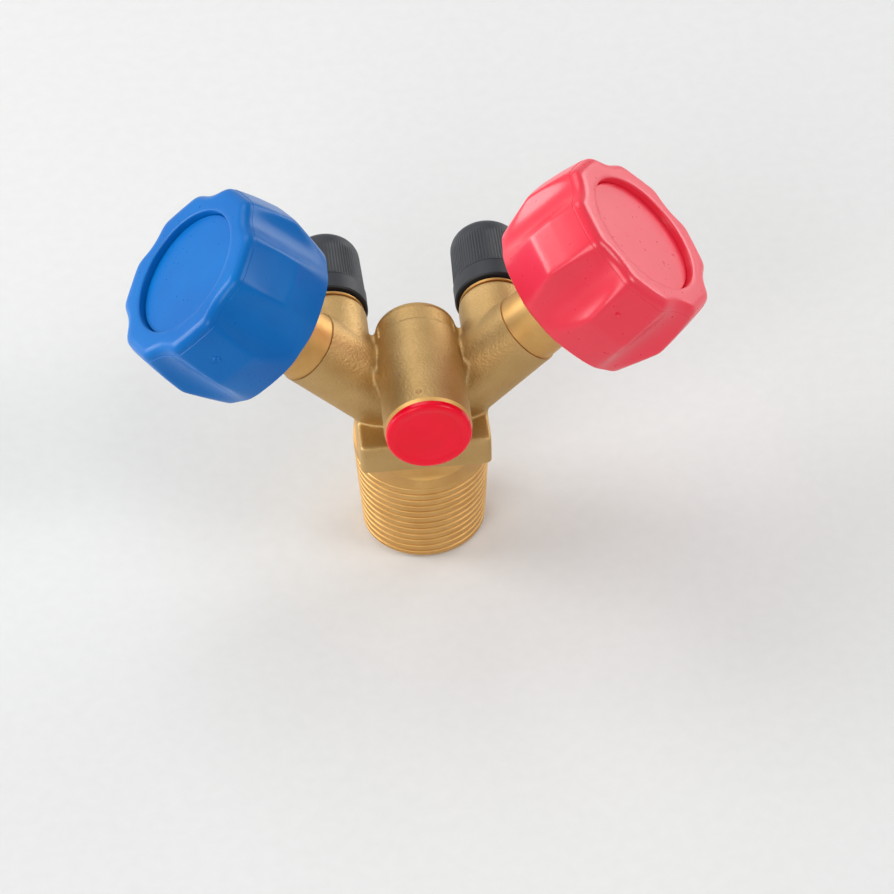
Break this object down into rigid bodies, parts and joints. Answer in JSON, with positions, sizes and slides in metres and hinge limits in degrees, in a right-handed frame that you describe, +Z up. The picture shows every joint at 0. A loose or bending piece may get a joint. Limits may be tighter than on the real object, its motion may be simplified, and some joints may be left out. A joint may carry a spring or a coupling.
{
  "type": "two-port refrigerant cylinder valve",
  "caption": "Forged brass cylinder valve with a taper-threaded stem, fluted handwheels on two arms, capped outlets and a spring relief valve.",
  "frame": {"origin": "centre of the threaded stem's end face", "axes": "+Z up the stem, -Y towards the relief valve's cap, +X towards the liquid arm with the red handwheel"},
  "size_m": [0.1211, 0.0584, 0.0904],
  "materials": {
    "forged_brass": "shot-blasted forging, turned where it is machined",
    "turned_brass": "turned",
    "blue_plastic": "moulded, satin gloss",
    "red_plastic": "moulded, satin gloss",
    "cap_red": "moulded, glossy",
    "cap_black": "moulded, matt with a fine grip",
    "rubber": "moulded",
    "seat_plastic": "plain",
    "steel": "zinc plated"
  },
  "bodies": {
    "valve": {"valve_body": "forged_brass", "vapour_bonnet_nut": "turned_brass", "vapour_bonnet_washer": "seat_plastic", "liquid_bonnet_nut": "turned_brass", "liquid_bonnet_washer": "seat_plastic", "relief_setting_screw": "turned_brass", "relief_spring": "steel"},
    "vapour_plug_carrier": {"vapour_plug": "turned_brass", "vapour_seat_disc": "seat_plastic"},
    "vapour_wheel": {"vapour_spindle": "turned_brass", "vapour_spindle_rings": "rubber", "vapour_handwheel": "blue_plastic", "vapour_wheel_washer": "steel", "vapour_wheel_screw": "steel", "vapour_wheel_cover": "blue_plastic"},
    "vapour_cap_disc": {"vapour_cap_gasket": "rubber"},
    "vapour_cap": {"vapour_outlet_cap": "cap_black"},
    "liquid_plug_carrier": {"liquid_plug": "turned_brass", "liquid_seat_disc": "seat_plastic"},
    "liquid_wheel": {"liquid_spindle": "turned_brass", "liquid_spindle_rings": "rubber", "liquid_handwheel": "red_plastic", "liquid_wheel_washer": "steel", "liquid_wheel_screw": "steel", "liquid_wheel_cover": "red_plastic"},
    "liquid_cap_disc": {"liquid_cap_gasket": "rubber"},
    "liquid_cap": {"liquid_outlet_cap": "cap_black"},
    "relief_poppet_body": {"relief_poppet": "turned_brass", "relief_seal": "rubber"},
    "relief_cap_body": {"relief_cap": "cap_red"}
  },
  "joints": [
    {"name": "vapour_plug_lift", "type": "slide", "parent": "valve", "child": "vapour_plug_carrier", "axis": [-0.7071, 0, 0.7071], "range_m": [0, 0.00375]},
    {"name": "vapour_wheel_turn", "type": "hinge", "parent": "vapour_plug_carrier", "child": "vapour_wheel", "pos_m": [0, 0, 0.0298], "axis": [-0.7071, 0, 0.7071], "range_deg": [0, 900]},
    {"name": "vapour_cap_rise", "type": "slide", "parent": "valve", "child": "vapour_cap_disc", "axis": [0, 1, 0], "range_m": [0, 0.01048]},
    {"name": "vapour_cap_turn", "type": "hinge", "parent": "vapour_cap_disc", "child": "vapour_cap", "pos_m": [-0.01725, 0.02, 0.04705], "axis": [0, 1, 0], "range_deg": [0, 2970]},
    {"name": "liquid_plug_lift", "type": "slide", "parent": "valve", "child": "liquid_plug_carrier", "axis": [0.7071, 0, 0.7071], "range_m": [0, 0.00375]},
    {"name": "liquid_wheel_turn", "type": "hinge", "parent": "liquid_plug_carrier", "child": "liquid_wheel", "pos_m": [0, 0, 0.0298], "axis": [0.7071, 0, 0.7071], "range_deg": [0, 900]},
    {"name": "liquid_cap_rise", "type": "slide", "parent": "valve", "child": "liquid_cap_disc", "axis": [0, 1, 0], "range_m": [0, 0.01048]},
    {"name": "liquid_cap_turn", "type": "hinge", "parent": "liquid_cap_disc", "child": "liquid_cap", "pos_m": [0.01725, 0.02, 0.04705], "axis": [0, 1, 0], "range_deg": [0, 2970]},
    {"name": "relief_poppet_lift", "type": "slide", "parent": "valve", "child": "relief_poppet_body", "axis": [0, -1, 0], "range_m": [0, 0.0015], "stiffness_N_per_m": 2500, "springref_m": -0.004, "deforming": ["relief_spring"]},
    {"name": "relief_cap_pull", "type": "slide", "parent": "valve", "child": "relief_cap_body", "axis": [0, -1, 0], "range_m": [0, 0.015]}
  ],
  "couplings": [
    {"joint": "vapour_plug_lift", "follows": "vapour_wheel_turn", "m_per_rad": 0.00023873},
    {"joint": "vapour_cap_rise", "follows": "vapour_cap_turn", "m_per_rad": 0.00020213},
    {"joint": "liquid_plug_lift", "follows": "liquid_wheel_turn", "m_per_rad": 0.00023873},
    {"joint": "liquid_cap_rise", "follows": "liquid_cap_turn", "m_per_rad": 0.00020213}
  ]
}
